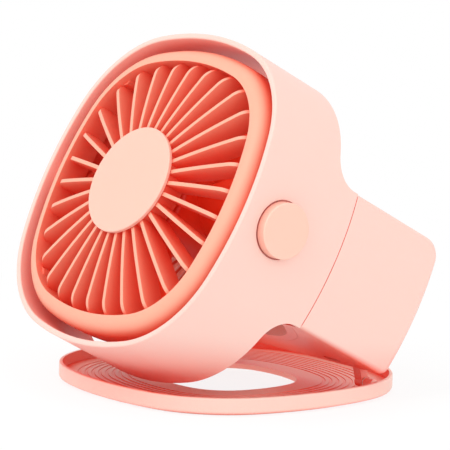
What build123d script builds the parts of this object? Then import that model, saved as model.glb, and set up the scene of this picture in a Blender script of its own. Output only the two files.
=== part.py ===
from build123d import *
import math
import os

os.makedirs("parts", exist_ok=True)

# All sizes are in millimetres. The origin is the centre of the base's underside,
# +Z is up and -Y is the side the fan blows towards.

# Stance of the fan head and its yoke
tilt = 28.0
lean = math.radians(tilt)
pivot_y = -30.0

# Yoke frame: a square band with bowed sides and round corners
frame_half = 75.0
frame_side_radius = 135.0
frame_corner_radius = 52.0
frame_wall = 2.6
frame_front = 21.4
frame_back = -20.0
frame_edge_round = 0.8
wing_blend_radius = 12.0

# Rear housing behind the frame, in the frame's own directions
parting = -34.5
arm_half_height = 32.0
scoop_inset = 8.0
scoop_radius = frame_half - scoop_inset
arm_depth = 23.0
arm_side_rear = -scoop_radius - arm_depth
arm_rear_bow = 1.5
arm_middle_rear = arm_side_rear - arm_rear_bow
arm_top_round = 8.6
arm_bottom_round = 4.0
arm_edge_round = 3.0
arm_wall = 2.4
seam_gap = 0.15
seam_groove_width = 0.4
seam_groove_depth = 0.5

# Cover under the rear housing
cover_rear_margin = 4.4
cover_rear = arm_side_rear + cover_rear_margin
cover_side_inset = 9.0
cover_side = frame_half - cover_side_inset
cover_inset = 5.0
cover_front_inset = 3.0
cover_corner_radius = 4.0
cover_step = 1.5
cover_lip_thickness = 1.2
cover_hook_place = -55.0
cover_hook_width = 6.0
cover_hook_reach = 2.0
cover_hook_height = 1.6

# Head
head_inset = 7.0
head_half = frame_half - head_inset
opening_inset = 14.3
head_front = 22.7
head_seam = 9.0
head_rear = -29.0
head_wall = 2.0
nose_radius = 7.0
bowl_radius = 42.0
bowl_centre = 10.0
channel_front = 18.5

# Front ribs
rib_count = 30
rib_width = 1.7
rib_first_angle = 6.0
rib_inner_radius = 22.0
rib_dome_radius = 300.0
rib_round = 8.6
rib_overlap = 0.6
rib_back_inner = 18.5
rib_back_slope = 0.198
rib_hub_step = 0.2
hub_front = 28.5
rib_inner_front = hub_front - rib_hub_step
hub_back = 17.5
hub_tube_radius = 23.4
hub_bore_radius = 20.0
cap_radius = 25.15
cap_front = 30.1
cap_spigot_back = 24.5
cap_spigot_wall = 1.4
cap_edge_round = 0.5

# Rear grille
rear_slot_inner_radius = 22.0
rear_slot_inset = 14.0
rear_slot_outer_radius = head_half - rear_slot_inset
rear_ring_radius = 38.0
rear_ring_width = 2.0
rear_rib_width = 1.9

# Screws that close the head
shell_screw_inset = 12.3
shell_boss_radius = 3.0
shell_rear_boss_radius = 4.0
shell_rear_boss_end = -16.0
shell_screw_length = 20.0
shell_screw_seat = -3.0
shell_boss_front = 19.0

# Common small screw
screw_shank_radius = 1.1
screw_head_radius = 2.4
screw_head_height = 1.5
screw_clearance_radius = 1.4
screw_recess_radius = 2.8
drive_radius = 0.9
drive_depth = 0.8

# Motor and impeller
blade_count = 5
blade_tip_inset = 14.0
blade_tip_radius = head_half - blade_tip_inset
blade_root_radius = 18.0
blade_root_chord = 22.0
blade_tip_chord = 50.0
blade_root_angle = 48.0
blade_tip_angle = 23.0
blade_thickness = 1.6
blade_camber = 0.09
blade_middle = -1.0
rotor_hub_radius = 20.0
rotor_hub_front = 14.0
rotor_hub_back = -16.0
rotor_hub_wall = 1.8
rotor_hub_round = 3.0
rotor_cup_radius = 18.2
rotor_cup_wall = 0.8
rotor_cup_front = 6.0
rotor_cup_back = -15.0
magnet_inner_radius = 15.6
magnet_front = 2.0
magnet_back = -14.0
stator_radius = 15.0
stator_front = -2.0
stator_back = -12.0
pole_count = 4
pole_shoe_inner_radius = 12.0
tooth_width = 4.0
stator_hub_radius = 7.4
coil_inner_radius = 7.9
coil_outer_radius = 11.0
coil_width = 8.2
coil_overhang = 1.6
coil_gap = 0.1
slot_opening = 5.6
bearing_tube_radius = 5.0
bearing_radius = 3.5
bearing_front = -4.0
bearing_back = -22.0
mount_flange_radius = 8.0
mount_shoulder_radius = 6.2
motor_board_back = -18.5
motor_board_thickness = 1.2
motor_board_radius = 15.0
shaft_radius = 1.5
shaft_clearance = 0.05
shaft_front = 12.5
shaft_rear = -24.5
shaft_boss_radius = 4.0
clip_radius = 2.8
clip_thickness = 0.5
clip_front = -22.3
clip_groove_radius = 1.1

# Side pivots, from the frame's outer face inwards
recess_depth = 1.8
recess_floor = frame_half - recess_depth
recess_radius = 13.0
boss_depth = 5.4
boss_face = frame_half - boss_depth
boss_radius = 16.0
bush_outer_radius = 8.4
bush_flange_radius = 11.5
bush_flange_thickness = 0.8
bush_flange_face = boss_face - bush_flange_thickness
pivot_radius = 6.5
pivot_clearance = 0.06
pivot_flange_radius = 10.5
pivot_flange_thickness = 0.6
end_clearance = 0.3
pivot_flange_inner = recess_floor + end_clearance
pivot_flange_outer = pivot_flange_inner + pivot_flange_thickness
head_boss_radius = 8.9
head_boss_recess = 0.4
head_boss_length = 10.8
head_boss_face = head_half - head_boss_recess
head_boss_inner = head_boss_face - head_boss_length
head_boss_floor_thickness = 1.2
head_boss_floor = head_boss_inner + head_boss_floor_thickness
wire_bore_radius = 3.5
left_cap_radius = 12.3
left_cap_thickness = 1.6
left_cap_inner = pivot_flange_outer + end_clearance
left_cap_outer = left_cap_inner + left_cap_thickness
left_cap_spigot_length = 4.4
left_cap_spigot = left_cap_inner - left_cap_spigot_length
left_cap_round = 0.6

# Power button and the switch behind it
button_travel = 1.0
button_radius = 12.28
button_thickness = 3.9
button_under = pivot_flange_outer + end_clearance + button_travel
button_face = button_under + button_thickness
button_skirt_length = 0.8
button_skirt_end = button_under - button_skirt_length
button_skirt_radius = 11.2
button_stem_radius = 3.94
button_edge_round = 0.6
stem_bore_radius = 4.0
switch_board_radius = 6.4
switch_board_thickness = 1.2
switch_size = 6.0
switch_height = 3.4
switch_face = head_boss_floor + switch_board_thickness + switch_height
switch_well_depth = 2.0
switch_well_end = switch_face - switch_well_depth
plunger_radius = 1.6
plunger_clearance = 0.06
plunger_sunk = 0.6
plunger_proud = 1.6
plunger_end = switch_face - plunger_sunk
button_stem_end = switch_face + plunger_proud
pivot_inner_clearance = 0.2
pivot_inner_end = switch_face + pivot_inner_clearance

# Hinge lugs between the base and the rear housing
knuckle_radius = 2.4
knuckle_floor_gap = 1.3
knuckle_set_back = 2.7
arm_knuckle_inner = 51.4
arm_knuckle_outer = 56.4
knuckle_end_clearance = 0.3
washer_thickness = 0.5
base_knuckle_inner = arm_knuckle_outer + knuckle_end_clearance + washer_thickness
base_knuckle_length = 5.2
base_knuckle_outer = base_knuckle_inner + base_knuckle_length
base_knuckle_skin = 1.2
pin_end = base_knuckle_outer - base_knuckle_skin
neck_thickness = 3.6
pin_radius = 1.25
pin_clearance = 0.05

# Screws between the frame and the rear housing
flange_reach = 12.5
flange_inner_x = frame_half - flange_reach
flange_thickness = 2.5
flange_end_gap = 3.0
flange_half_height = arm_half_height - flange_end_gap
housing_screw_inset = 7.5
housing_screw_x = frame_half - housing_screw_inset
housing_screw_end_gap = 12.0
housing_screw_u = arm_half_height - housing_screw_end_gap
housing_screw_end = -42.0
housing_boss_radius = 3.0
housing_boss_end = -43.0

# Electronics in the rear housing
board_side_gap = 15.0
board_width = 36.0
board_right = frame_half - board_side_gap
board_left = board_right - board_width
board_floor_gap = 6.0
board_height = 20.0
board_low = -arm_half_height + board_floor_gap
board_high = board_low + board_height
board_rear_gap = 10.6
board_front = arm_side_rear + board_rear_gap
board_thickness = 1.2
board_screw_inset = 3.5
board_post_radius = 2.4
board_post_sunk = 1.0
board_post_end = arm_side_rear + board_post_sunk
board_screw_length = 5.0
socket_x = (board_left + board_right) / 2
socket_width = 9.0
socket_height = 3.2
socket_length = 7.5
socket_sunk = 1.0
socket_mouth = -arm_half_height + socket_sunk
socket_wall = 0.3
socket_tongue_width = 6.7
socket_tongue_height = 0.7
slot_width = 10.6
slot_height = 4.6
slot_corner_radius = 2.2

# Base
base_half = 70.0
base_side_radius = 127.0
base_corner_radius = 48.5
base_top = 8.05
base_under = 0.8
base_floor_top = 3.1
base_floor_under = 2.0
base_lip = 1.5
base_bottom_round = 1.6
base_top_round = 0.6
hole_half = 30.0
hole_side_radius = 56.0
hole_corner_radius = 21.0
pocket_margin = 4.0
pad_thickness = 1.2
ripple_count = 8
ripple_first_half = 41.4
ripple_pitch = 2.85
ripple_width = 1.4
ripple_depth = 0.3
side_radius_ratio = 1.81
corner_radius_ratio = 0.69

# Height of the pivot, from the frame's lowest edge over the tray's floor
frame_floor_gap = 3.79
frame_drop = frame_half * math.cos(lean) - frame_back * math.sin(lean)
pivot_z = base_floor_top + frame_floor_gap + frame_drop

# Hinge axis, from the lower rear corner of the housing and the tray's floor
corner_up = arm_bottom_round - arm_half_height
corner_forward = arm_side_rear + arm_bottom_round
corner_y = pivot_y + corner_up * math.sin(lean) - corner_forward * math.cos(lean)
corner_z = pivot_z + corner_up * math.cos(lean) + corner_forward * math.sin(lean)
hinge_y = corner_y + knuckle_set_back
hinge_z = base_floor_top + knuckle_floor_gap + knuckle_radius

up_in_plane = (0, math.sin(lean), math.cos(lean))
forward_dir = (0, -math.cos(lean), math.sin(lean))
tilted = Plane(origin=(0, pivot_y, pivot_z), x_dir=(1, 0, 0), z_dir=forward_dir)
forward = Axis((0, pivot_y, pivot_z), forward_dir)


def across(x):
    """Plane at x facing +X through the pivot; its axes are frame-up and forward."""
    return Plane(origin=(x, pivot_y, pivot_z), x_dir=up_in_plane, z_dir=(1, 0, 0))


def level(height):
    """Plane facing frame-up at this height; its axes are X and rearward."""
    corner = tilted.from_local_coords((0, height, 0))
    return Plane(origin=corner, x_dir=(1, 0, 0), z_dir=up_in_plane)


def corner_centre(half, side_radius, corner_radius):
    """Distance of a soft square's corner centre from each of its middle lines."""
    bow = side_radius - half
    spread = side_radius - corner_radius
    return (math.sqrt(2 * spread**2 - bow**2) - bow) / 2


def soft_square(half, side_radius, corner_radius, mode=Mode.ADD):
    """Square with bowed sides and round corners, every arc tangent to the next."""
    bow = side_radius - half
    spread = side_radius - corner_radius
    centre = corner_centre(half, side_radius, corner_radius)
    near = Vector(-bow + side_radius * (centre + bow) / spread, side_radius * centre / spread)
    diagonal = centre + corner_radius / math.sqrt(2)
    with BuildLine() as outline:
        for quarter in range(4):
            turn = 90 * quarter
            low = Vector(near.X, -near.Y).rotate(Axis.Z, turn)
            middle = Vector(half, 0).rotate(Axis.Z, turn)
            high = near.rotate(Axis.Z, turn)
            corner = Vector(diagonal, diagonal).rotate(Axis.Z, turn)
            after = Vector(near.Y, near.X).rotate(Axis.Z, turn)
            ThreePointArc(low, middle, high)
            ThreePointArc(high, corner, after)
    make_face(outline.edges(), mode=mode)


def frame_outline(inset, mode=Mode.ADD):
    """The frame's outer outline moved inwards by an even distance."""
    soft_square(
        frame_half - inset, frame_side_radius - inset, frame_corner_radius - inset, mode=mode
    )


def base_outline(inset, mode=Mode.ADD):
    """The base's outer outline moved inwards by an even distance."""
    soft_square(base_half - inset, base_side_radius - inset, base_corner_radius - inset, mode=mode)


def hole_outline(grow, mode=Mode.ADD):
    """The base's central opening moved outwards by an even distance."""
    soft_square(hole_half + grow, hole_side_radius + grow, hole_corner_radius + grow, mode=mode)


def ripple_outline(half, mode=Mode.ADD):
    """A smaller square of the same proportions as the base."""
    soft_square(half, half * side_radius_ratio, half * corner_radius_ratio, mode=mode)


def rim_radius(angle, inset):
    """Distance from the fan's axis to the inset frame outline at this angle."""
    half = frame_half - inset
    side_radius = frame_side_radius - inset
    corner_radius = frame_corner_radius - inset
    bow = side_radius - half
    spread = side_radius - corner_radius
    centre = corner_centre(half, side_radius, corner_radius)
    along = math.cos(math.radians(45 - abs(angle % 90 - 45)))
    over = math.sin(math.radians(45 - abs(angle % 90 - 45)))
    near_x = side_radius * (centre + bow) / spread - bow
    near_y = side_radius * centre / spread
    if over * near_x < along * near_y:
        return math.sqrt(side_radius**2 - (bow * over) ** 2) - bow * along
    return centre * (along + over) + math.sqrt(corner_radius**2 - (centre * (along - over)) ** 2)


def dome_front(radius):
    """Front of the rib dome at this distance from the fan's axis."""
    inner_drop = math.sqrt(rib_dome_radius**2 - rib_inner_radius**2)
    return rib_inner_front - inner_drop + math.sqrt(rib_dome_radius**2 - radius**2)


def round_bar(start, end, radius, bore=0.0, mode=Mode.ADD):
    """Cylinder or tube along X on the pivot axis, from start to end."""
    with BuildSketch(across(start)) as ring:
        Circle(radius)
        if bore > 0:
            Circle(bore, mode=Mode.SUBTRACT)
    extrude(ring.sketch, amount=end - start, mode=mode)


def forward_bar(start, end, radius, bore=0.0, mode=Mode.ADD):
    """Cylinder or tube along the fan's axis, from start to end."""
    with BuildSketch(tilted.offset(start)) as ring:
        Circle(radius)
        if bore > 0:
            Circle(bore, mode=Mode.SUBTRACT)
    extrude(ring.sketch, amount=end - start, mode=mode)


def corner_places(place):
    """The four corners of a square whose half width is place."""
    return [(place, place), (-place, place), (-place, -place), (place, -place)]


def arm_plan(inset, rear_inset):
    """Plan of the rear housing, with x across and y rearward."""
    with BuildLine() as outline:
        side = frame_half + 5.0
        front = -parting + inset
        side_rear = -arm_side_rear - rear_inset
        middle_rear = -arm_middle_rear - rear_inset
        Line((side, front), (-side, front))
        Line((-side, front), (-side, side_rear))
        ThreePointArc((-side, side_rear), (0, middle_rear), (side, side_rear))
        Line((side, side_rear), (side, front))
    make_face(outline.edges())


def arm_section(inset):
    """Section of the rear housing: two bowed sides between flat top and bottom."""
    bow = frame_side_radius - frame_half
    with Locations((-bow, 0)):
        Circle(frame_side_radius - inset)
    with Locations((bow, 0)):
        Circle(frame_side_radius - inset, mode=Mode.INTERSECT)
    Rectangle(3 * frame_half, 2 * (arm_half_height - inset), mode=Mode.INTERSECT)


def seam_groove():
    """Shallow groove around the frame's outline on the parting plane."""
    with BuildSketch(tilted.offset(parting - seam_groove_width / 2)) as ring:
        frame_outline(-1)
        frame_outline(seam_groove_depth, mode=Mode.SUBTRACT)
    extrude(ring.sketch, amount=seam_groove_width, mode=Mode.SUBTRACT)


def lug(side, inner, outer, radius, mode=Mode.ADD):
    """Cylinder on the hinge axis between two distances from the middle."""
    with Locations((side * (inner + outer) / 2, hinge_y, hinge_z)):
        Cylinder(radius, outer - inner, rotation=(0, 90, 0), mode=mode)


def cover_outline(inset):
    """Outline of the opening under the rear housing, moved inwards by an even distance."""
    front = cover_front_inset - parting + inset
    rear = -cover_rear - inset
    with Locations((0, (front + rear) / 2)):
        RectangleRounded(2 * (cover_side - inset), rear - front, cover_corner_radius)
    Circle(scoop_radius + cover_inset + inset, mode=Mode.SUBTRACT)


def screws(seat, places, length):
    """Pan-head screws seated on a plane, their shanks going back through it."""
    with BuildSketch(seat) as heads:
        with Locations(*places):
            Circle(screw_head_radius)
    extrude(heads.sketch, amount=screw_head_height)
    with BuildSketch(seat) as shanks:
        with Locations(*places):
            Circle(screw_shank_radius)
    extrude(shanks.sketch, amount=-length)
    with BuildSketch(seat.offset(screw_head_height)) as drives:
        with Locations(*places):
            RegularPolygon(drive_radius, 6)
    extrude(drives.sketch, amount=-drive_depth, mode=Mode.SUBTRACT)


def blade_section(radius, chord, angle):
    """Thin bowed blade section, square to the radius at which it lies."""
    rise = chord * blade_camber
    half = blade_thickness / 2
    outline = [
        Vector(x, y).rotate(Axis.Z, angle) + Vector(0, blade_middle)
        for x, y in (
            (-chord / 2, half),
            (0, rise + half),
            (chord / 2, half),
            (chord / 2, -half),
            (0, rise - half),
            (-chord / 2, -half),
        )
    ]
    with BuildSketch(across(radius)) as section:
        with BuildLine():
            ThreePointArc(outline[0], outline[1], outline[2])
            Line(outline[2], outline[3])
            ThreePointArc(outline[3], outline[4], outline[5])
            Line(outline[5], outline[0])
        make_face()
    return section.sketch


housing_screw_places = [
    (x, u) for x in (housing_screw_x, -housing_screw_x) for u in (housing_screw_u, -housing_screw_u)
]
board_screw_places = [
    (board_left + board_screw_inset, board_high - board_screw_inset),
    (board_right - board_screw_inset, board_high - board_screw_inset),
]
frame_corner_centre = corner_centre(frame_half, frame_side_radius, frame_corner_radius)
shell_screw_place = frame_corner_centre + (frame_corner_radius - shell_screw_inset) / math.sqrt(2)
slot_place = -(board_front - board_thickness - socket_height / 2)

# ---------------------------------------------------------------- base

with BuildPart() as base_tray:
    with BuildSketch(Plane.XY.offset(base_under)):
        base_outline(0)
    extrude(amount=base_top - base_under)
    fillet(base_tray.edges().group_by(Axis.Z)[-1], base_top_round)
    fillet(base_tray.edges().group_by(Axis.Z)[0], base_bottom_round)
    with BuildSketch(Plane.XY.offset(base_floor_top)):
        base_outline(base_lip)
    extrude(amount=base_top - base_floor_top, mode=Mode.SUBTRACT)
    with BuildSketch(Plane.XY.offset(base_floor_top)):
        for ripple in reversed(range(ripple_count)):
            groove_half = ripple_first_half + ripple * ripple_pitch
            ripple_outline(groove_half + ripple_width / 2)
            ripple_outline(groove_half - ripple_width / 2, mode=Mode.SUBTRACT)
    extrude(amount=-ripple_depth, mode=Mode.SUBTRACT)
    with BuildSketch(Plane.XY.offset(base_under)):
        base_outline(pocket_margin)
        hole_outline(pocket_margin, mode=Mode.SUBTRACT)
    extrude(amount=base_floor_under - base_under, mode=Mode.SUBTRACT)
    with BuildSketch(Plane.XY):
        hole_outline(0)
    extrude(amount=base_top, mode=Mode.SUBTRACT)
    for side in (1, -1):
        web_height = hinge_z - base_floor_under
        web_middle = side * (base_knuckle_inner + base_knuckle_outer) / 2
        lug(side, base_knuckle_inner, base_knuckle_outer, knuckle_radius)
        with Locations((web_middle, hinge_y, base_floor_under + web_height / 2)):
            Box(base_knuckle_length, 2 * knuckle_radius, web_height)
        lug(side, base_knuckle_inner, pin_end, pin_radius, mode=Mode.SUBTRACT)
base_tray.part.label = "base_tray"
export_step(base_tray.part, "parts/base_tray.step")

with BuildPart() as base_weight:
    with BuildSketch(Plane.XY.offset(pad_thickness)):
        base_outline(pocket_margin + seam_gap)
        hole_outline(pocket_margin + seam_gap, mode=Mode.SUBTRACT)
    extrude(amount=base_floor_under - pad_thickness)
base_weight.part.label = "base_weight"
export_step(base_weight.part, "parts/base_weight.step")

with BuildPart() as base_foot_pad:
    with BuildSketch(Plane.XY):
        base_outline(pocket_margin + seam_gap)
        hole_outline(pocket_margin + seam_gap, mode=Mode.SUBTRACT)
    extrude(amount=pad_thickness)
base_foot_pad.part.label = "base_foot_pad"
export_step(base_foot_pad.part, "parts/base_foot_pad.step")

with BuildPart() as hinge_pins:
    for side in (1, -1):
        lug(side, arm_knuckle_inner, pin_end, pin_radius)
hinge_pins.part.label = "hinge_pins"
export_step(hinge_pins.part, "parts/hinge_pins.step")

with BuildPart() as hinge_washers:
    for side in (1, -1):
        washer_inner = base_knuckle_inner - washer_thickness
        lug(side, washer_inner, base_knuckle_inner, knuckle_radius)
        lug(side, washer_inner, base_knuckle_inner, pin_radius, mode=Mode.SUBTRACT)
hinge_washers.part.label = "hinge_washers"
export_step(hinge_washers.part, "parts/hinge_washers.step")

# ---------------------------------------------------------------- frame and rear housing

with BuildPart() as frame:
    with BuildSketch(tilted.offset(parting)):
        frame_outline(0)
        frame_outline(frame_wall, mode=Mode.SUBTRACT)
    extrude(amount=frame_front - parting)
    with BuildSketch(across(0)) as side_view:
        with Locations((0, (frame_front + frame_back) / 2)):
            Rectangle(2 * frame_half + 2, frame_front - frame_back)
        with Locations((0, (frame_back + parting) / 2)):
            Rectangle(2 * arm_half_height, frame_back - parting)
        notches = side_view.vertices().group_by(Axis.Y)[1]
        fillet(notches.sort_by(Axis.X)[1:3], wing_blend_radius)
    extrude(amount=frame_half + 5, both=True, mode=Mode.INTERSECT)
    fillet(frame.edges().group_by(forward)[-1], frame_edge_round)
    with BuildSketch(tilted.offset(parting)):
        frame_outline(frame_wall / 2)
        Rectangle(3 * frame_half, 2 * flange_half_height, mode=Mode.INTERSECT)
        Rectangle(2 * flange_inner_x, 2 * frame_half, mode=Mode.SUBTRACT)
    extrude(amount=flange_thickness)
    for side in (1, -1):
        round_bar(side * boss_face, side * (recess_floor + 0.4), boss_radius)
        round_bar(side * recess_floor, side * (frame_half + 5), recess_radius, mode=Mode.SUBTRACT)
        round_bar(side * (boss_face - 1), side * recess_floor, bush_outer_radius, mode=Mode.SUBTRACT)
    with BuildSketch(tilted.offset(parting)):
        with Locations(*housing_screw_places):
            Circle(screw_clearance_radius)
    extrude(amount=flange_thickness, mode=Mode.SUBTRACT)
    seam_groove()
frame.part.label = "frame"
export_step(frame.part, "parts/frame.step")

with BuildPart() as housing_space:
    with BuildSketch(tilted.offset(parting - arm_wall)):
        arm_section(arm_wall)
    extrude(amount=arm_middle_rear - parting)
    with BuildSketch(level(0)) as inner_plan:
        arm_plan(arm_wall, arm_wall)
    extrude(amount=frame_half, both=True, mode=Mode.INTERSECT)
    with BuildSketch(level(0)):
        Circle(scoop_radius + arm_wall)
    extrude(amount=frame_half, both=True, mode=Mode.SUBTRACT)

with BuildPart() as rear_housing:
    with BuildSketch(tilted.offset(parting)):
        arm_section(0)
    extrude(amount=arm_middle_rear - parting - 1)
    with BuildSketch(level(0)):
        arm_plan(0, 0)
    extrude(amount=frame_half, both=True, mode=Mode.INTERSECT)
    upright = Axis((0, pivot_y, pivot_z), up_in_plane)
    fillet(rear_housing.faces().sort_by(forward)[0].edges().sort_by(upright)[-1], arm_top_round)
    fillet(rear_housing.faces().sort_by(forward)[0].edges().sort_by(upright)[0], arm_bottom_round)
    side_edges = (
        rear_housing.faces().sort_by(Axis.X)[0].edges()
        + rear_housing.faces().sort_by(Axis.X)[-1].edges()
    )
    front_edges = rear_housing.edges().group_by(forward)[-1]
    fillet(side_edges - front_edges, arm_edge_round)
    with BuildSketch(level(0)):
        Circle(scoop_radius)
    extrude(amount=frame_half, both=True, mode=Mode.SUBTRACT)
    for side in (1, -1):
        neck_y = (hinge_y + corner_y) / 2
        neck_z = (hinge_z + corner_z) / 2
        neck_length = math.hypot(hinge_y - corner_y, hinge_z - corner_z)
        neck_turn = math.degrees(math.atan2(corner_z - hinge_z, corner_y - hinge_y))
        with Locations((side * (arm_knuckle_inner + arm_knuckle_outer) / 2, neck_y, neck_z)):
            Box(
                arm_knuckle_outer - arm_knuckle_inner,
                neck_length,
                neck_thickness,
                rotation=(neck_turn, 0, 0),
            )
        lug(side, arm_knuckle_inner, arm_knuckle_outer, knuckle_radius)
    add(housing_space.part, mode=Mode.SUBTRACT)
    for side in (1, -1):
        bore_radius = pin_radius + pin_clearance
        lug(side, arm_knuckle_inner, arm_knuckle_outer, bore_radius, mode=Mode.SUBTRACT)
    with BuildSketch(level(-arm_half_height)) as rebate:
        cover_outline(0)
    extrude(amount=cover_lip_thickness, mode=Mode.SUBTRACT)
    with BuildSketch(level(-arm_half_height)) as opening:
        cover_outline(cover_step)
    extrude(amount=arm_wall, mode=Mode.SUBTRACT)
    with BuildSketch(tilted.offset(parting - arm_wall)):
        with Locations(*housing_screw_places):
            Circle(housing_boss_radius)
    extrude(amount=housing_boss_end - parting + arm_wall)
    with BuildSketch(tilted.offset(parting)):
        with Locations(*housing_screw_places):
            Circle(screw_shank_radius)
    extrude(amount=housing_screw_end - parting, mode=Mode.SUBTRACT)
    with BuildSketch(tilted.offset(board_post_end)):
        with Locations(*board_screw_places):
            Circle(board_post_radius)
    extrude(amount=board_front - board_thickness - board_post_end)
    with BuildSketch(tilted.offset(board_front - board_screw_length)):
        with Locations(*board_screw_places):
            Circle(screw_shank_radius)
    extrude(amount=board_screw_length - board_thickness, mode=Mode.SUBTRACT)
    seam_groove()
rear_housing.part.label = "rear_housing"
export_step(rear_housing.part, "parts/rear_housing.step")

with BuildPart() as housing_cover:
    with BuildSketch(level(-arm_half_height)):
        cover_outline(seam_gap)
    extrude(amount=cover_lip_thickness)
    with BuildSketch(level(-arm_half_height)):
        cover_outline(cover_step + seam_gap)
    extrude(amount=arm_wall)
    hook_root = cover_side - cover_step - cover_hook_reach
    with BuildSketch(level(arm_wall - arm_half_height)):
        for side in (1, -1):
            with Locations((side * (hook_root + cover_hook_reach), -cover_hook_place)):
                Rectangle(2 * cover_hook_reach, cover_hook_width)
    extrude(amount=cover_hook_height)
    with BuildSketch(level(-arm_half_height)):
        with Locations((socket_x, slot_place)):
            RectangleRounded(slot_width, slot_height, slot_corner_radius)
    extrude(amount=arm_wall, mode=Mode.SUBTRACT)
housing_cover.part.label = "housing_cover"
export_step(housing_cover.part, "parts/housing_cover.step")

with BuildPart() as housing_screws:
    screws(
        tilted.offset(parting + flange_thickness),
        housing_screw_places,
        parting + flange_thickness - housing_screw_end,
    )
housing_screws.part.label = "housing_screws"
export_step(housing_screws.part, "parts/housing_screws.step")

with BuildPart() as circuit_board:
    with BuildSketch(tilted.offset(board_front)):
        with Locations(((board_left + board_right) / 2, (board_low + board_high) / 2)):
            Rectangle(board_right - board_left, board_high - board_low)
        with Locations(*board_screw_places):
            Circle(screw_clearance_radius, mode=Mode.SUBTRACT)
    extrude(amount=-board_thickness)
circuit_board.part.label = "circuit_board"
export_step(circuit_board.part, "parts/circuit_board.step")

with BuildPart() as board_screws:
    screws(tilted.offset(board_front), board_screw_places, board_screw_length)
board_screws.part.label = "board_screws"
export_step(board_screws.part, "parts/board_screws.step")

with BuildPart() as usb_socket:
    with BuildSketch(level(socket_mouth)):
        with Locations((socket_x, slot_place)):
            RectangleRounded(socket_width, socket_height, socket_height / 2 - 0.1)
    extrude(amount=socket_length)
    with BuildSketch(level(socket_mouth)):
        with Locations((socket_x, slot_place)):
            RectangleRounded(
                socket_width - 2 * socket_wall,
                socket_height - 2 * socket_wall,
                socket_height / 2 - 0.1 - socket_wall,
            )
    extrude(amount=socket_length - 1.0, mode=Mode.SUBTRACT)
    with BuildSketch(level(socket_mouth + 1.0)):
        with Locations((socket_x, slot_place)):
            Rectangle(socket_tongue_width, socket_tongue_height)
    extrude(amount=socket_length - 1.5)
usb_socket.part.label = "usb_socket"
export_step(usb_socket.part, "parts/usb_socket.step")

with BuildPart() as pivot_bushes:
    for side in (1, -1):
        bush_bore = pivot_radius + pivot_clearance
        round_bar(side * bush_flange_face, side * boss_face, bush_flange_radius, bush_bore)
        round_bar(side * boss_face, side * recess_floor, bush_outer_radius, bush_bore)
pivot_bushes.part.label = "pivot_bushes"
export_step(pivot_bushes.part, "parts/pivot_bushes.step")

# ---------------------------------------------------------------- head

with BuildPart() as head_body:
    with BuildSketch(tilted.offset(bowl_centre - bowl_radius)):
        frame_outline(head_inset)
    extrude(amount=head_front - bowl_centre + bowl_radius)
    fillet(head_body.edges().group_by(forward)[-1], nose_radius)
    fillet(head_body.edges().group_by(forward)[0], bowl_radius)

with BuildPart() as head_space:
    with BuildSketch(tilted.offset(bowl_centre - bowl_radius + head_wall)):
        frame_outline(head_inset + head_wall)
    extrude(amount=head_seam - bowl_centre + bowl_radius - head_wall + 3)
    fillet(head_space.edges().group_by(forward)[0], bowl_radius - head_wall)
    split(bisect_by=tilted.offset(head_rear + head_wall), keep=Keep.TOP)

with BuildPart() as shell_bosses:
    with BuildSketch(tilted.offset(shell_rear_boss_end)):
        with Locations(*corner_places(shell_screw_place)):
            Circle(shell_rear_boss_radius)
    extrude(amount=head_seam - shell_rear_boss_end)
    add(head_body.part, mode=Mode.INTERSECT)

with BuildPart() as rear_shell:
    add(head_body.part)
    add(head_space.part, mode=Mode.SUBTRACT)
    with BuildSketch(tilted.offset(bowl_centre - bowl_radius)):
        Circle(rear_slot_outer_radius)
        Circle(rear_ring_radius + rear_ring_width / 2, mode=Mode.SUBTRACT)
        Circle(rear_ring_radius - rear_ring_width / 2)
        Circle(rear_slot_inner_radius, mode=Mode.SUBTRACT)
        with PolarLocations(
            (rear_slot_inner_radius + rear_slot_outer_radius) / 2, rib_count, start_angle=rib_first_angle
        ):
            Rectangle(
                rear_slot_outer_radius - rear_slot_inner_radius + 2, rear_rib_width, mode=Mode.SUBTRACT
            )
    extrude(amount=bowl_radius - bowl_centre + shell_rear_boss_end, mode=Mode.SUBTRACT)
    add(shell_bosses.part)
    for side in (1, -1):
        round_bar(side * head_boss_inner, side * head_boss_face, head_boss_radius)
        round_bar(side * head_boss_floor, side * boss_face, pivot_radius, mode=Mode.SUBTRACT)
    round_bar(-head_boss_floor, -head_boss_inner, wire_bore_radius, mode=Mode.SUBTRACT)
    forward_bar(head_rear + head_wall / 2, motor_board_back, mount_flange_radius)
    forward_bar(motor_board_back, stator_back, mount_shoulder_radius)
    forward_bar(stator_back, bearing_front, bearing_tube_radius)
    forward_bar(head_rear + head_wall, bearing_front, bearing_radius, mode=Mode.SUBTRACT)
    with BuildSketch(tilted.offset(bowl_centre - bowl_radius)):
        with Locations(*corner_places(shell_screw_place)):
            Circle(screw_recess_radius)
    extrude(amount=shell_screw_seat - bowl_centre + bowl_radius, mode=Mode.SUBTRACT)
    with BuildSketch(tilted.offset(shell_screw_seat)):
        with Locations(*corner_places(shell_screw_place)):
            Circle(screw_clearance_radius)
    extrude(amount=head_seam - shell_screw_seat, mode=Mode.SUBTRACT)
    split(bisect_by=tilted.offset(head_rear), keep=Keep.TOP)
    split(bisect_by=tilted.offset(head_seam), keep=Keep.BOTTOM)
rear_shell.part.label = "rear_shell"
export_step(rear_shell.part, "parts/rear_shell.step")

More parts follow.
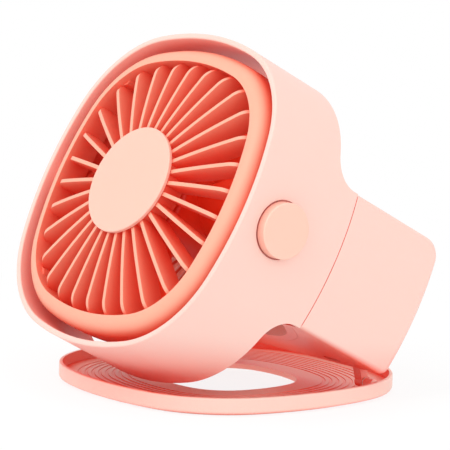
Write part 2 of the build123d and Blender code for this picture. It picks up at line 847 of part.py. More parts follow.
with BuildPart() as ribs:
    for rib in range(rib_count):
        angle = rib_first_angle + rib * 360 / rib_count
        rib_end = rim_radius(angle, opening_inset - rib_overlap)
        rib_middle = (rib_inner_radius + rib_end) / 2
        rib_end_back = rib_back_inner - (rib_end - rib_inner_radius) * rib_back_slope
        turned = tilted.location * Location((0, 0, 0), (0, 0, angle)) * Location((0, 0, 0), (90, 0, 0))
        with BuildSketch(Plane(turned)) as rib_side:
            with BuildLine():
                Polyline(
                    (rib_inner_radius, rib_inner_front),
                    (rib_inner_radius, rib_back_inner),
                    (rib_end, rib_end_back),
                    (rib_end, dome_front(rib_end)),
                )
                ThreePointArc(
                    (rib_end, dome_front(rib_end)),
                    (rib_middle, dome_front(rib_middle)),
                    (rib_inner_radius, rib_inner_front),
                )
            make_face()
            tips = rib_side.vertices().group_by(Axis.X)[-1]
            fillet(tips.sort_by(Axis.Y)[-1], rib_round)
        extrude(amount=rib_width / 2, both=True)

with BuildPart() as front_grille:
    add(head_body.part)
    split(bisect_by=tilted.offset(head_seam), keep=Keep.TOP)
    with BuildSketch(tilted.offset(head_seam)):
        frame_outline(opening_inset)
    extrude(amount=head_front - head_seam, mode=Mode.SUBTRACT)
    with BuildSketch(tilted.offset(head_seam)):
        frame_outline(head_inset + head_wall)
        frame_outline(opening_inset - head_wall, mode=Mode.SUBTRACT)
    extrude(amount=channel_front - head_seam, mode=Mode.SUBTRACT)
    with BuildSketch(tilted.offset(head_seam)):
        with Locations(*corner_places(shell_screw_place)):
            Circle(shell_boss_radius)
    extrude(amount=shell_boss_front - head_seam)
    with BuildSketch(tilted.offset(head_seam)):
        with Locations(*corner_places(shell_screw_place)):
            Circle(screw_shank_radius)
    extrude(amount=shell_screw_seat + shell_screw_length - head_seam, mode=Mode.SUBTRACT)
    add(ribs.part)
    forward_bar(hub_back, hub_front, hub_tube_radius)
    forward_bar(hub_back, hub_front, hub_bore_radius, mode=Mode.SUBTRACT)
front_grille.part.label = "front_grille"
export_step(front_grille.part, "parts/front_grille.step")

with BuildPart() as hub_cap:
    forward_bar(hub_front, cap_front, cap_radius)
    fillet(hub_cap.edges().group_by(forward)[-1], cap_edge_round)
    forward_bar(cap_spigot_back, hub_front, hub_bore_radius, hub_bore_radius - cap_spigot_wall)
hub_cap.part.label = "hub_cap"
export_step(hub_cap.part, "parts/hub_cap.step")

with BuildPart() as shell_screws:
    rear_dir = (0, math.cos(lean), -math.sin(lean))
    shell_seat = Plane(origin=tilted.offset(shell_screw_seat).origin, x_dir=(1, 0, 0), z_dir=rear_dir)
    screws(shell_seat, corner_places(shell_screw_place), shell_screw_length)
shell_screws.part.label = "shell_screws"
export_step(shell_screws.part, "parts/shell_screws.step")

with BuildPart() as right_pivot:
    round_bar(pivot_inner_end, pivot_flange_outer, pivot_radius)
    round_bar(pivot_flange_inner, pivot_flange_outer, pivot_flange_radius)
    round_bar(pivot_inner_end, pivot_flange_outer, stem_bore_radius, mode=Mode.SUBTRACT)
right_pivot.part.label = "right_pivot"
export_step(right_pivot.part, "parts/right_pivot.step")

with BuildPart() as left_pivot:
    round_bar(-pivot_inner_end, -pivot_flange_outer, pivot_radius)
    round_bar(-pivot_flange_inner, -pivot_flange_outer, pivot_flange_radius)
    round_bar(-pivot_inner_end, -pivot_flange_outer, wire_bore_radius, mode=Mode.SUBTRACT)
left_pivot.part.label = "left_pivot"
export_step(left_pivot.part, "parts/left_pivot.step")

with BuildPart() as left_pivot_cap:
    round_bar(-left_cap_inner, -left_cap_outer, left_cap_radius)
    fillet(left_pivot_cap.edges().group_by(Axis.X)[0], left_cap_round)
    round_bar(-left_cap_spigot, -left_cap_inner, wire_bore_radius)
left_pivot_cap.part.label = "left_pivot_cap"
export_step(left_pivot_cap.part, "parts/left_pivot_cap.step")

with BuildPart() as switch_board:
    round_bar(head_boss_floor, head_boss_floor + switch_board_thickness, switch_board_radius)
switch_board.part.label = "switch_board"
export_step(switch_board.part, "parts/switch_board.step")

with BuildPart() as tact_switch:
    switch_back = head_boss_floor + switch_board_thickness
    with BuildSketch(across(switch_back)):
        Rectangle(switch_size, switch_size)
    extrude(amount=switch_face - switch_back)
    round_bar(switch_well_end, switch_face, plunger_radius + plunger_clearance, mode=Mode.SUBTRACT)
tact_switch.part.label = "tact_switch"
export_step(tact_switch.part, "parts/tact_switch.step")

with BuildPart() as switch_plunger:
    round_bar(plunger_end, button_stem_end, plunger_radius)
switch_plunger.part.label = "switch_plunger"
export_step(switch_plunger.part, "parts/switch_plunger.step")

with BuildPart() as power_button:
    round_bar(button_under, button_face, button_radius)
    fillet(power_button.edges().group_by(Axis.X)[-1], button_edge_round)
    round_bar(button_skirt_end, button_under, button_radius, button_skirt_radius)
    round_bar(button_stem_end, button_under, button_stem_radius)
power_button.part.label = "power_button"
export_step(power_button.part, "parts/power_button.step")

# ---------------------------------------------------------------- motor and impeller

with BuildPart() as sleeve_bearing:
    forward_bar(bearing_back, bearing_front, bearing_radius, shaft_radius + shaft_clearance)
sleeve_bearing.part.label = "sleeve_bearing"
export_step(sleeve_bearing.part, "parts/sleeve_bearing.step")

with BuildPart() as motor_board:
    board_front_face = motor_board_back + motor_board_thickness
    forward_bar(motor_board_back, board_front_face, motor_board_radius, mount_shoulder_radius)
motor_board.part.label = "motor_board"
export_step(motor_board.part, "parts/motor_board.step")

with BuildPart() as stator_core:
    with BuildSketch(tilted.offset(stator_back)):
        Circle(stator_radius)
        with PolarLocations((stator_radius + pole_shoe_inner_radius) / 2, pole_count, start_angle=45):
            Rectangle(2 * (stator_radius - pole_shoe_inner_radius), slot_opening, mode=Mode.SUBTRACT)
        Circle(pole_shoe_inner_radius, mode=Mode.SUBTRACT)
        Circle(stator_hub_radius)
        with PolarLocations((stator_hub_radius + pole_shoe_inner_radius) / 2, pole_count):
            Rectangle(pole_shoe_inner_radius - stator_hub_radius + 1.5, tooth_width)
        Circle(bearing_tube_radius, mode=Mode.SUBTRACT)
    extrude(amount=stator_front - stator_back)
stator_core.part.label = "stator_core"
export_step(stator_core.part, "parts/stator_core.step")

with BuildPart() as stator_coils:
    coil_middle = (coil_inner_radius + coil_outer_radius) / 2
    with BuildSketch(tilted.offset(stator_back - coil_overhang)):
        with PolarLocations(coil_middle, pole_count):
            Rectangle(coil_outer_radius - coil_inner_radius, coil_width)
    extrude(amount=stator_front - stator_back + 2 * coil_overhang)
    with BuildSketch(tilted.offset(stator_back - coil_gap)):
        with PolarLocations(coil_middle, pole_count):
            Rectangle(coil_outer_radius - coil_inner_radius, tooth_width + 2 * coil_gap)
    extrude(amount=stator_front - stator_back + 2 * coil_gap, mode=Mode.SUBTRACT)
stator_coils.part.label = "stator_coils"
export_step(stator_coils.part, "parts/stator_coils.step")

with BuildPart() as motor_shaft:
    forward_bar(shaft_rear, shaft_front, shaft_radius)
    forward_bar(
        clip_front - clip_thickness, clip_front, shaft_radius + 1, clip_groove_radius, mode=Mode.SUBTRACT
    )
motor_shaft.part.label = "motor_shaft"
export_step(motor_shaft.part, "parts/motor_shaft.step")

with BuildPart() as shaft_clip:
    forward_bar(clip_front - clip_thickness, clip_front, clip_radius, clip_groove_radius)
shaft_clip.part.label = "shaft_clip"
export_step(shaft_clip.part, "parts/shaft_clip.step")

with BuildPart() as rotor_cup:
    forward_bar(rotor_cup_back, rotor_cup_front, rotor_cup_radius)
    cup_floor = rotor_cup_front - rotor_cup_wall
    forward_bar(rotor_cup_back, cup_floor, rotor_cup_radius - rotor_cup_wall, mode=Mode.SUBTRACT)
    forward_bar(cup_floor, rotor_cup_front, shaft_radius, mode=Mode.SUBTRACT)
rotor_cup.part.label = "rotor_cup"
export_step(rotor_cup.part, "parts/rotor_cup.step")

with BuildPart() as rotor_magnet:
    magnet_radius = rotor_cup_radius - rotor_cup_wall
    forward_bar(magnet_back, magnet_front, magnet_radius, magnet_inner_radius)
rotor_magnet.part.label = "rotor_magnet"
export_step(rotor_magnet.part, "parts/rotor_magnet.step")

with BuildPart() as blade:
    root = blade_section(blade_root_radius, blade_root_chord, blade_root_angle)
    tip = blade_section(blade_tip_radius + 2, blade_tip_chord, blade_tip_angle)
    loft([root, tip])
    forward_bar(head_rear, head_front, blade_tip_radius, mode=Mode.INTERSECT)

with BuildPart() as impeller:
    forward_bar(rotor_hub_back, rotor_hub_front, rotor_hub_radius)
    fillet(impeller.edges().group_by(forward)[-1], rotor_hub_round)
    for turn in range(blade_count):
        add(blade.part.rotate(forward, 360 * turn / blade_count))
    forward_bar(rotor_hub_back, rotor_cup_front, rotor_cup_radius, mode=Mode.SUBTRACT)
    hub_inner = rotor_hub_front - rotor_hub_wall
    hollow_radius = rotor_hub_radius - 2 * rotor_hub_wall
    forward_bar(rotor_cup_front, hub_inner, hollow_radius, shaft_boss_radius, mode=Mode.SUBTRACT)
    forward_bar(rotor_cup_front, shaft_front, shaft_radius, mode=Mode.SUBTRACT)
impeller.part.label = "impeller"
export_step(impeller.part, "parts/impeller.step")
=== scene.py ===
import math
from collections import namedtuple

import bpy
from mathutils import Matrix, Vector


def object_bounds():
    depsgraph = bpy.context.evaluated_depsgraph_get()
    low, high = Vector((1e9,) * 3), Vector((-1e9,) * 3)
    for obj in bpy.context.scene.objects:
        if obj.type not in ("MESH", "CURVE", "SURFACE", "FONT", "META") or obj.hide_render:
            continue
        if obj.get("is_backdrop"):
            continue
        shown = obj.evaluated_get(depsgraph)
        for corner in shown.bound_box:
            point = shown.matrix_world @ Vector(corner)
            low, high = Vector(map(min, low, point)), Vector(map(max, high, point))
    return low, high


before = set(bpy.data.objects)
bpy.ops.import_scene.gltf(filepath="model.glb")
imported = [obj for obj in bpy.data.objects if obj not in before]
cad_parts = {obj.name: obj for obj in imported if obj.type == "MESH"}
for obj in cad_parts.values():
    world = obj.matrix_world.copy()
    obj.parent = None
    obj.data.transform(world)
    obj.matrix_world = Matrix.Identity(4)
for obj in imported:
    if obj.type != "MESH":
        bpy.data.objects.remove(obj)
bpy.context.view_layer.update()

bl_info = {
    "name": "Desk Fan Finishes",
    "version": (1, 0, 0),
    "blender": (4, 5, 0),
    "location": "3D View > Sidebar > Desk Fan",
    "description": "Gives a small tilting desk fan its moulded, metal and studio finishes",
    "category": "Object",
}

# ---------------------------------------------------------------- fixed values

WHITE = (1.0, 1.0, 1.0, 1.0)

# Moulded plastic. Cells are counted in one metre, lengths are in metres.
NOISE_MIDDLE = 0.5
DRIFT_CELLS = 22.0
DRIFT_DETAIL = 2.0
DRIFT_SHARE = 0.25
DRIFT_SHADE = 0.95
GRAIN_DETAIL = 3.0
GRAIN_DEPTH = 0.00005
ROUGHNESS_SPREAD = 0.08
# Samples taken by the painted shade's look for nearby walls.
PAINTED_SHADE_SAMPLES = 12
GLOW_COLOURS = (1.0, 0.4, 0.3)
GLOW_DEPTH = 0.004
PLASTIC_SHINE = 0.4

# Drawn and turned metal.
SCRATCH_CELLS = 4000.0
SCRATCH_DETAIL = 2.0
SCRATCH_STRETCH = (0.05, 1.0, 1.0)
SCRATCH_ROUGHNESS = 0.2
SCRATCH_RELIEF = 0.15
SCRATCH_DEPTH = 0.00003
STAIN_CELLS = 180.0
STAIN_DETAIL = 3.0

# Studio. The lights' places are in spans of the fan, from its middle.
PAPER_COLOUR = (0.95, 0.95, 0.95, 1.0)
PAPER_ROUGHNESS = 0.9
KEY_PLACE = (0.4, -4.4, 5.2)
KEY_SIZE = 1.1
FILL_PLACE = (5.6, -1.2, 2.4)
FILL_SIZE = 1.2
CAMERA_REACH = 100.0

# Coloured mouldings. The colour is the name of a setting. Start is how shut in a
# point is where painted shade begins to deepen its colour, amount is how fast the painted
# shade deepens from there, and lift is how far upward the look for walls is tipped.
Moulding = namedtuple("Moulding", "name colour roughness relief lift start amount nodes")
MOULDINGS = (
    Moulding("frame_plastic", "shell_colour", 0.42, 0.25, 0.0, 0.3, 0.85, ("frame",)),
    Moulding(
        "housing_plastic", "shell_colour", 0.42, 0.25, 0.0, 0.25, 1.6, ("rear_housing", "housing_cover")
    ),
    # The base's lift of 1.0 lays painted shade on the tray under the arm and frame that stand over it.
    Moulding("base_plastic", "base_colour", 0.45, 0.25, 1.0, 0.42, 2.4, ("base_tray",)),
    # The head's deeper tone than the shell's is painted shade standing in for the shade it sits in
    # inside the frame.
    Moulding("head_plastic", "head_colour", 0.45, 0.2, 0.0, 0.1, 1.0, ("front_grille", "rear_shell")),
    # The cap's paler tone than the head's is painted light standing in for the light on its front face.
    Moulding("cap_plastic", "cap_colour", 0.4, 0.15, 0.0, 0.1, 0.6, ("hub_cap",)),
    Moulding(
        "button_plastic", "button_colour", 0.5, 0.3, 0.0, 0.1, 0.8, ("power_button", "left_pivot_cap")
    ),
    # The impeller's deep red is painted shade standing in for the shade inside the head.
    Moulding("impeller_plastic", "impeller_colour", 0.35, 0.15, 0.0, 0.1, 1.2, ("impeller",)),
)

STEEL_NODES = (
    "base_weight",
    "hinge_pins",
    "housing_screws",
    "board_screws",
    "usb_socket",
    "shell_screws",
    "stator_core",
    "rotor_cup",
    "motor_shaft",
)
NYLON_NODES = ("hinge_washers", "pivot_bushes", "right_pivot", "left_pivot", "shaft_clip")
BOARD_NODES = ("circuit_board", "switch_board", "motor_board")

Metal = namedtuple("Metal", "name colour stain roughness nodes")
METALS = (
    Metal("drawn_steel", (0.56, 0.57, 0.59), (0.42, 0.43, 0.45), 0.28, STEEL_NODES),
    Metal("sintered_bronze", (0.52, 0.36, 0.18), (0.34, 0.22, 0.10), 0.42, ("sleeve_bearing",)),
    Metal("enamelled_copper", (0.62, 0.24, 0.10), (0.42, 0.14, 0.06), 0.35, ("stator_coils",)),
)

Plastic = namedtuple("Plastic", "name colour deep roughness grain relief nodes")
SMALL_PLASTICS = (
    Plastic("natural_nylon", (0.78, 0.74, 0.66), (0.70, 0.64, 0.54), 0.5, 1400.0, 0.2, NYLON_NODES),
    Plastic(
        "soft_silicone", (0.62, 0.26, 0.20), (0.56, 0.22, 0.17), 0.7, 900.0, 0.5, ("base_foot_pad",)
    ),
    Plastic(
        "black_plastic",
        (0.03, 0.03, 0.03),
        (0.02, 0.02, 0.02),
        0.4,
        1600.0,
        0.2,
        ("tact_switch", "switch_plunger"),
    ),
    Plastic(
        "bonded_ferrite", (0.07, 0.065, 0.06), (0.04, 0.04, 0.04), 0.6, 2500.0, 0.4, ("rotor_magnet",)
    ),
    Plastic("solder_mask", (0.02, 0.16, 0.06), (0.01, 0.09, 0.03), 0.25, 1200.0, 0.3, BOARD_NODES),
)


# ---------------------------------------------------------------- node helpers


def new_material(name, roughness):
    """Empty node material with a Principled surface of the given roughness."""
    material = bpy.data.materials.new(name)
    material.use_nodes = True
    nodes = material.node_tree.nodes
    nodes.clear()
    surface = nodes.new("ShaderNodeBsdfPrincipled")
    output = nodes.new("ShaderNodeOutputMaterial")
    material.node_tree.links.new(surface.outputs["BSDF"], output.inputs["Surface"])
    surface.inputs["Roughness"].default_value = roughness
    return material, surface


def linear(colour):
    """Opaque colour for a shader socket."""
    return (colour[0], colour[1], colour[2], 1.0)


def math_node(tree, operation, first, second):
    """Math node whose inputs are sockets or plain numbers."""
    node = tree.nodes.new("ShaderNodeMath")
    node.operation = operation
    for socket, value in zip(node.inputs, (first, second)):
        if isinstance(value, bpy.types.NodeSocket):
            tree.links.new(value, socket)
        else:
            socket.default_value = value
    return node.outputs[0]


def blend_colours(tree, factor, first, second):
    """Colour mix whose factor is a socket and whose colours are sockets."""
    node = tree.nodes.new("ShaderNodeMix")
    node.data_type = "RGBA"
    tree.links.new(factor, node.inputs["Factor"])
    tree.links.new(first, node.inputs["A"])
    tree.links.new(second, node.inputs["B"])
    return node.outputs["Result"]


def noise(tree, vector, scale, detail):
    """Soft noise whose scale, in cells per metre, is a socket or a plain number."""
    node = tree.nodes.new("ShaderNodeTexNoise")
    node.inputs["Detail"].default_value = detail
    tree.links.new(vector, node.inputs["Vector"])
    if isinstance(scale, bpy.types.NodeSocket):
        tree.links.new(scale, node.inputs["Scale"])
    else:
        node.inputs["Scale"].default_value = scale
    return node.outputs["Fac"]


# ---------------------------------------------------------------- shared effects


def effect_tree(name, inputs):
    """Shared effect with these inputs, and with a colour, a roughness and a height as outputs."""
    tree = bpy.data.node_groups.new(name, "ShaderNodeTree")
    for label, default in inputs.items():
        kind = "NodeSocketColor" if isinstance(default, tuple) else "NodeSocketFloat"
        socket = tree.interface.new_socket(name=label, in_out="INPUT", socket_type=kind)
        socket.default_value = default
    tree.interface.new_socket(name="Colour", in_out="OUTPUT", socket_type="NodeSocketColor")
    for label in ("Roughness", "Height"):
        tree.interface.new_socket(name=label, in_out="OUTPUT", socket_type="NodeSocketFloat")
    return tree, tree.nodes.new("NodeGroupInput").outputs


def close_effect(tree, colour, roughness, height):
    """Joins what a shared effect has worked out to its outputs."""
    result = tree.nodes.new("NodeGroupOutput").inputs
    tree.links.new(colour, result["Colour"])
    tree.links.new(roughness, result["Roughness"])
    tree.links.new(height, result["Height"])


def painted_shade_mask(tree, reach, lift, start, strength):
    """Painted shade mask: how far walls within reach close a point in, as the shut share
    less start, times strength.

    The shut share is looked for round the surface's own direction with the lift
    added to its Z, so that what stands over an upright wall lays more painted shade on it than what lies
    beside it.
    """
    upward = tree.nodes.new("ShaderNodeCombineXYZ")
    tree.links.new(lift, upward.inputs["Z"])
    lifted = tree.nodes.new("ShaderNodeVectorMath")
    tree.links.new(tree.nodes.new("ShaderNodeNewGeometry").outputs["Normal"], lifted.inputs[0])
    tree.links.new(upward.outputs["Vector"], lifted.inputs[1])
    facing = tree.nodes.new("ShaderNodeVectorMath")
    facing.operation = "NORMALIZE"
    tree.links.new(lifted.outputs["Vector"], facing.inputs[0])
    caught = tree.nodes.new("ShaderNodeAmbientOcclusion")
    caught.samples = PAINTED_SHADE_SAMPLES
    tree.links.new(reach, caught.inputs["Distance"])
    tree.links.new(facing.outputs["Vector"], caught.inputs["Normal"])
    shut = math_node(tree, "SUBTRACT", 1.0, caught.outputs["AO"])
    past = math_node(tree, "SUBTRACT", shut, start)
    depth = math_node(tree, "MULTIPLY", past, strength)
    return math_node(tree, "MAXIMUM", math_node(tree, "MINIMUM", depth, 1.0), 0.0)


def grain_and_painted_shade_group():
    """Fine spark-eroded grain and slow colour drift, with painted shade: a deeper colour where walls
    close a point in.
    """
    inputs = {
        "Colour": WHITE,
        "Deep Colour": WHITE,
        "Hollow Colour": WHITE,
        "Hollow Reach": 0.0,
        "Hollow Lift": 0.0,
        "Hollow Start": 0.0,
        "Hollow Strength": 0.0,
        "Drift": DRIFT_SHARE,
        "Grain Scale": 0.0,
        "Roughness": 0.0,
        "Roughness Spread": ROUGHNESS_SPREAD,
    }
    tree, given = effect_tree("moulded_grain", inputs)
    place = tree.nodes.new("ShaderNodeTexCoord").outputs["Object"]
    slow = noise(tree, place, DRIFT_CELLS, DRIFT_DETAIL)
    fine = noise(tree, place, given["Grain Scale"], GRAIN_DETAIL)
    amount = math_node(tree, "MULTIPLY", slow, given["Drift"])
    colour = blend_colours(tree, amount, given["Colour"], given["Deep Colour"])
    painted_shade = painted_shade_mask(
        tree,
        given["Hollow Reach"],
        given["Hollow Lift"],
        given["Hollow Start"],
        given["Hollow Strength"],
    )
    # Painted shade: the colour goes over to the deep shade colour where walls close the point in.
    colour = blend_colours(tree, painted_shade, colour, given["Hollow Colour"])
    centred = math_node(tree, "SUBTRACT", slow, NOISE_MIDDLE)
    spread = math_node(tree, "MULTIPLY", centred, given["Roughness Spread"])
    rough = math_node(tree, "ADD", given["Roughness"], spread)
    close_effect(tree, colour, rough, fine)


def drawn_metal_group():
    """Long fine scratches along X, as on drawn or turned metal, with faint stains."""
    inputs = {"Colour": WHITE, "Stain": WHITE, "Roughness": 0.0}
    tree, given = effect_tree("drawn_metal", inputs)
    place = tree.nodes.new("ShaderNodeTexCoord").outputs["Object"]
    stretch = tree.nodes.new("ShaderNodeMapping")
    stretch.inputs["Scale"].default_value = SCRATCH_STRETCH
    tree.links.new(place, stretch.inputs["Vector"])
    scratches = noise(tree, stretch.outputs["Vector"], SCRATCH_CELLS, SCRATCH_DETAIL)
    stains = noise(tree, place, STAIN_CELLS, STAIN_DETAIL)
    colour = blend_colours(tree, stains, given["Colour"], given["Stain"])
    spread = math_node(tree, "MULTIPLY", scratches, SCRATCH_ROUGHNESS)
    rough = math_node(tree, "ADD", given["Roughness"], spread)
    close_effect(tree, colour, rough, scratches)


# ---------------------------------------------------------------- materials


def apply_effect(material, surface, effect, values, relief, depth):
    """Places a shared effect in a material and joins its colour, roughness and height."""
    tree = material.node_tree
    group = tree.nodes.new("ShaderNodeGroup")
    group.node_tree = bpy.data.node_groups[effect]
    for name, value in values.items():
        group.inputs[name].default_value = value
    bump = tree.nodes.new("ShaderNodeBump")
    bump.inputs["Strength"].default_value = relief
    bump.inputs["Distance"].default_value = depth
    tree.links.new(group.outputs["Height"], bump.inputs["Height"])
    tree.links.new(group.outputs["Colour"], surface.inputs["Base Color"])
    tree.links.new(group.outputs["Roughness"], surface.inputs["Roughness"])
    tree.links.new(bump.outputs["Normal"], surface.inputs["Normal"])


def moulded(name, colour, deep, roughness, grain, relief, painted_shade, glow):
    """Moulded plastic: grain, colour drift and whatever painted shade values it is given."""
    material, surface = new_material(name, roughness)
    values = {
        "Colour": linear(colour),
        "Deep Colour": linear(deep),
        "Roughness": roughness,
        "Grain Scale": grain,
    }
    apply_effect(material, surface, "moulded_grain", values | painted_shade, relief, GRAIN_DEPTH)
    surface.inputs["Subsurface Weight"].default_value = glow
    surface.inputs["Subsurface Radius"].default_value = GLOW_COLOURS
    surface.inputs["Subsurface Scale"].default_value = GLOW_DEPTH
    surface.inputs["Specular IOR Level"].default_value = PLASTIC_SHINE
    return material


def drawn(name, colour, stain, roughness):
    """Metal with drawn scratches and faint stains."""
    material, surface = new_material(name, roughness)
    surface.inputs["Metallic"].default_value = 1.0
    values = {"Colour": linear(colour), "Stain": linear(stain), "Roughness": roughness}
    apply_effect(material, surface, "drawn_metal", values, SCRATCH_RELIEF, SCRATCH_DEPTH)
    return material


def dress(names, material):
    """Gives every named CAD node one finish in place of what it had."""
    for name in names:
        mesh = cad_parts[name].data
        mesh.materials.clear()
        mesh.materials.append(material)


# ---------------------------------------------------------------- settings


def colour_property(name, description, default):
    """Colour setting in linear values."""
    return bpy.props.FloatVectorProperty(
        name=name,
        description=description,
        subtype="COLOR",
        size=3,
        min=0.0,
        max=1.0,
        default=default,
    )


def length_property(name, description, default, least=0.0):
    """Length setting in metres."""
    return bpy.props.FloatProperty(
        name=name, description=description, unit="LENGTH", min=least, default=default
    )


def angle_property(name, description, degrees):
    """Angle setting, whose default is given in degrees."""
    return bpy.props.FloatProperty(
        name=name,
        description=description,
        subtype="ANGLE",
        unit="ROTATION",
        default=math.radians(degrees),
    )


def share_property(name, description, default):
    """Setting from none to all."""
    return bpy.props.FloatProperty(
        name=name, description=description, subtype="FACTOR", min=0.0, max=1.0, default=default
    )


def power_property(name, description, default):
    """Power setting in watts."""
    return bpy.props.FloatProperty(
        name=name, description=description, unit="POWER", min=0.0, default=default
    )


class FanFinishes(bpy.types.PropertyGroup):
    """Colours and surface of the coloured mouldings, with their painted shade and light"""

    shell_colour: colour_property("Shell colour", "Frame and rear housing", (0.95, 0.62, 0.54))
    base_colour: colour_property("Base colour", "Ring-shaped tray base", (0.95, 0.60, 0.51))
    # Painted shade: the head's colour is deepened to stand in for the shade inside the frame.
    head_colour: colour_property("Head colour", "Front grille and rear shell", (0.97, 0.42, 0.29))
    # Painted light: the cap's colour is paled to stand in for the light falling on its front.
    cap_colour: colour_property("Cap colour", "Flat cap in the middle of the grille", (0.95, 0.54, 0.43))
    button_colour: colour_property(
        "Button colour", "Push button and the cap on the other side", (0.96, 0.58, 0.46)
    )
    # Painted shade: the blades' deep red stands in for the shade inside the head.
    impeller_colour: colour_property("Impeller colour", "Blades inside the head", (0.95, 0.13, 0.07))
    # Painted shade: the deep red laid where walls close a point in, standing in for light caught between
    # walls of the same colour.
    hollow_colour: colour_property(
        "Hollow colour", "Light caught between walls of the same colour", (0.99, 0.055, 0.014)
    )
    hollow_reach: length_property(
        "Hollow reach", "How near a facing wall has to be to deepen the colour", 0.05
    )
    painted_shade_amount: bpy.props.FloatProperty(
        name="Painted shade amount",
        description="How far hollows take the deeper colour",
        min=0.0,
        default=1.0,
    )
    grain: bpy.props.FloatProperty(
        name="Grain",
        description="Cells of moulded grain in one metre",
        min=200.0,
        max=5000.0,
        default=1800.0,
    )
    glow: share_property("Glow", "Share of the light that soaks into the plastic", 0.1)


class FanStudio(bpy.types.PropertyGroup):
    """Camera, floor and lights"""

    camera_distance: length_property(
        "Camera distance", "From the camera to the point it looks at", 1.5584, 0.3
    )
    camera_lens: bpy.props.FloatProperty(
        name="Lens", description="Focal length in millimetres", unit="CAMERA", min=20.0, default=278.28
    )
    camera_azimuth: angle_property(
        "Camera azimuth", "How far the camera stands round to the button's side", 52.629
    )
    camera_height: angle_property("Camera elevation", "How far the camera looks down", 8.576)
    camera_roll: angle_property("Camera roll", "How far the camera is tipped sideways", 1.624)
    camera_aim: bpy.props.FloatVectorProperty(
        name="Camera aim",
        description="Point the camera looks at, from the middle of the base",
        subtype="TRANSLATION",
        size=3,
        default=(0.00098, -0.00335, 0.07273),
    )
    floor_size: length_property("Floor size", "Width of the floor", 30.0, 1.0)
    floor_light: share_property(
        "Lit floor",
        "Share of the floor's white that it gives off itself, so that shadows stay faint",
        0.85,
    )
    floor_near: length_property("Shadow floor", "Radius within which the floor keeps shadows", 0.11)
    floor_far: length_property("White floor", "Radius beyond which the floor is plain white", 0.30)
    key_power: power_property("Key light", "Power of the main soft light", 11.0)
    fill_power: power_property("Fill light", "Power of the second soft light", 5.0)
    sky: share_property("Sky", "Strength of the even light from all round", 0.9)


# ---------------------------------------------------------------- operators


class FAN_OT_shared_effects(bpy.types.Operator):
    """Gives the frame, housing, base, head, button and impeller their coloured plastic and its painted
    shade
    """

    bl_idname = "fan.shared_effects"
    bl_label = "Shared Effects"

    def execute(self, context):
        grain_and_painted_shade_group()
        drawn_metal_group()
        return {"FINISHED"}


class FAN_OT_shell_finish(bpy.types.Operator):
    """Gives the frame, housing, base, head, button and impeller their coloured plastic"""

    bl_idname = "fan.shell_finish"
    bl_label = "Shell Plastic"

    def execute(self, context):
        look = context.scene.fan_finishes
        for piece in MOULDINGS:
            colour = getattr(look, piece.colour)
            deep = [value * DRIFT_SHADE for value in colour]
            # Painted shade values for this moulding.
            painted_shade = {
                "Hollow Colour": linear(look.hollow_colour),
                "Hollow Reach": look.hollow_reach,
                "Hollow Lift": piece.lift,
                "Hollow Start": piece.start,
                "Hollow Strength": piece.amount * look.painted_shade_amount,
            }
            material = moulded(
                piece.name, colour, deep, piece.roughness, look.grain, piece.relief, painted_shade, look.glow
            )
            dress(piece.nodes, material)
        return {"FINISHED"}


class FAN_OT_small_part_finish(bpy.types.Operator):
    """Gives the metal, nylon, rubber and electrical pieces their finishes"""

    bl_idname = "fan.small_part_finish"
    bl_label = "Small Parts"

    def execute(self, context):
        for piece in METALS:
            dress(piece.nodes, drawn(piece.name, piece.colour, piece.stain, piece.roughness))
        for piece in SMALL_PLASTICS:
            material = moulded(
                piece.name, piece.colour, piece.deep, piece.roughness, piece.grain, piece.relief, {}, 0.0
            )
            dress(piece.nodes, material)
        return {"FINISHED"}


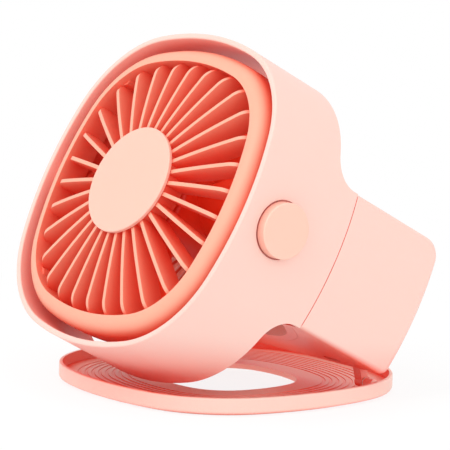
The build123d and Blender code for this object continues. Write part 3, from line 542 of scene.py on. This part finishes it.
class FAN_OT_stage(bpy.types.Operator):
    """Sets the floor, the soft lights and the camera"""

    bl_idname = "fan.stage"
    bl_label = "Studio"

    def execute(self, context):
        scene = context.scene
        studio = scene.fan_studio
        self.floor(scene, studio)
        self.sky(scene, studio)
        low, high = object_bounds()
        middle = (Vector(low) + Vector(high)) / 2
        span = (Vector(high) - Vector(low)).length
        key_place = middle + Vector(KEY_PLACE) * span
        fill_place = middle + Vector(FILL_PLACE) * span
        self.lamp(scene, "key_light", key_place, middle, KEY_SIZE, studio.key_power)
        self.lamp(scene, "fill_light", fill_place, middle, FILL_SIZE, studio.fill_power)
        self.camera(scene, studio)
        scene.view_settings.view_transform = "Standard"
        return {"FINISHED"}

    def floor(self, scene, studio):
        """Flat square at the height on which the base stands, with its paper."""
        half = studio.floor_size / 2
        corners = [(-half, -half, 0.0), (half, -half, 0.0), (half, half, 0.0), (-half, half, 0.0)]
        mesh = bpy.data.meshes.new("studio_floor")
        mesh.from_pydata(corners, [], [(0, 1, 2, 3)])
        floor = bpy.data.objects.new("studio_floor", mesh)
        scene.collection.objects.link(floor)
        mesh.materials.append(self.paper(studio))
        floor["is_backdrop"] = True

    def paper(self, studio):
        """White paper that keeps faint shadows near the fan and shines plain white far from it."""
        material, surface = new_material("white_paper", PAPER_ROUGHNESS)
        surface.inputs["Base Color"].default_value = PAPER_COLOUR
        surface.inputs["Specular IOR Level"].default_value = 0.0
        tree = material.node_tree
        away = tree.nodes.new("ShaderNodeVectorMath")
        away.operation = "LENGTH"
        tree.links.new(tree.nodes.new("ShaderNodeTexCoord").outputs["Object"], away.inputs[0])
        fade = tree.nodes.new("ShaderNodeMapRange")
        fade.interpolation_type = "SMOOTHSTEP"
        fade.inputs["From Min"].default_value = studio.floor_near
        fade.inputs["From Max"].default_value = studio.floor_far
        fade.inputs["To Min"].default_value = studio.floor_light
        tree.links.new(away.outputs["Value"], fade.inputs["Value"])
        bright = tree.nodes.new("ShaderNodeEmission")
        mix = tree.nodes.new("ShaderNodeMixShader")
        tree.links.new(fade.outputs["Result"], mix.inputs["Fac"])
        tree.links.new(surface.outputs["BSDF"], mix.inputs[1])
        tree.links.new(bright.outputs["Emission"], mix.inputs[2])
        output = next(node for node in tree.nodes if node.type == "OUTPUT_MATERIAL")
        tree.links.new(mix.outputs["Shader"], output.inputs["Surface"])
        return material

    def sky(self, scene, studio):
        """Even white light, plain white where it is seen directly, mirrored or through a piece."""
        world = bpy.data.worlds.new("studio_sky")
        scene.world = world
        world.use_nodes = True
        tree = world.node_tree
        tree.nodes.clear()
        output = tree.nodes.new("ShaderNodeOutputWorld")
        glow = tree.nodes.new("ShaderNodeBackground")
        path = tree.nodes.new("ShaderNodeLightPath")
        seen = math_node(tree, "MAXIMUM", path.outputs["Is Camera Ray"], path.outputs["Is Glossy Ray"])
        seen = math_node(tree, "MAXIMUM", seen, path.outputs["Is Transmission Ray"])
        change = math_node(tree, "MULTIPLY", seen, 1.0 - studio.sky)
        strength = math_node(tree, "ADD", change, studio.sky)
        tree.links.new(strength, glow.inputs["Strength"])
        tree.links.new(glow.outputs["Background"], output.inputs["Surface"])
        glow.inputs["Color"].default_value = WHITE

    def lamp(self, scene, name, place, aim, size, power):
        """Square soft light at a place, turned to its aim."""
        data = bpy.data.lights.new(name, "AREA")
        data.size = size
        data.energy = power
        lamp = bpy.data.objects.new(name, data)
        turn = (aim - place).to_track_quat("-Z", "Y")
        lamp.matrix_world = Matrix.LocRotScale(place, turn, None)
        scene.collection.objects.link(lamp)

    def camera(self, scene, studio):
        """Long lens that stands round to the button's side and looks slightly down."""
        azimuth, height, roll = studio.camera_azimuth, studio.camera_height, studio.camera_roll
        right = Vector((math.cos(azimuth), math.sin(azimuth), 0.0))
        back = Vector(
            (
                math.sin(azimuth) * math.cos(height),
                -math.cos(azimuth) * math.cos(height),
                math.sin(height),
            )
        )
        up = back.cross(right)
        tipped_right = right * math.cos(roll) + up * math.sin(roll)
        tipped_up = up * math.cos(roll) - right * math.sin(roll)
        turn = Matrix((tipped_right, tipped_up, back)).transposed().to_4x4()
        place = Vector(studio.camera_aim) + back * studio.camera_distance
        data = bpy.data.cameras.new("studio_camera")
        data.lens = studio.camera_lens
        data.clip_end = CAMERA_REACH
        camera = bpy.data.objects.new("studio_camera", data)
        camera.matrix_world = Matrix.Translation(place) @ turn
        scene.collection.objects.link(camera)
        scene.camera = camera


class FAN_PT_panel(bpy.types.Panel):
    """Lists the fan's finishes and the studio"""

    bl_idname = "FAN_PT_panel"
    bl_label = "Desk Fan"
    bl_space_type = "VIEW_3D"
    bl_region_type = "UI"
    bl_category = "Desk Fan"

    def draw(self, context):
        column = self.layout.column()
        for name in FanFinishes.__annotations__:
            column.prop(context.scene.fan_finishes, name)
        for name in FanStudio.__annotations__:
            column.prop(context.scene.fan_studio, name)
        for operator in OPERATORS:
            column.operator(operator.bl_idname)


OPERATORS = (FAN_OT_shared_effects, FAN_OT_shell_finish, FAN_OT_small_part_finish, FAN_OT_stage)
CLASSES = (FanFinishes, FanStudio) + OPERATORS + (FAN_PT_panel,)


def register():
    for cls in CLASSES:
        bpy.utils.register_class(cls)
    bpy.types.Scene.fan_finishes = bpy.props.PointerProperty(type=FanFinishes)
    bpy.types.Scene.fan_studio = bpy.props.PointerProperty(type=FanStudio)


def unregister():
    del bpy.types.Scene.fan_studio
    del bpy.types.Scene.fan_finishes
    for cls in reversed(CLASSES):
        bpy.utils.unregister_class(cls)


def main():
    register()
    bpy.ops.fan.shared_effects()
    bpy.ops.fan.shell_finish()
    bpy.ops.fan.small_part_finish()
    bpy.ops.fan.stage()


if __name__ == "__main__":
    main()
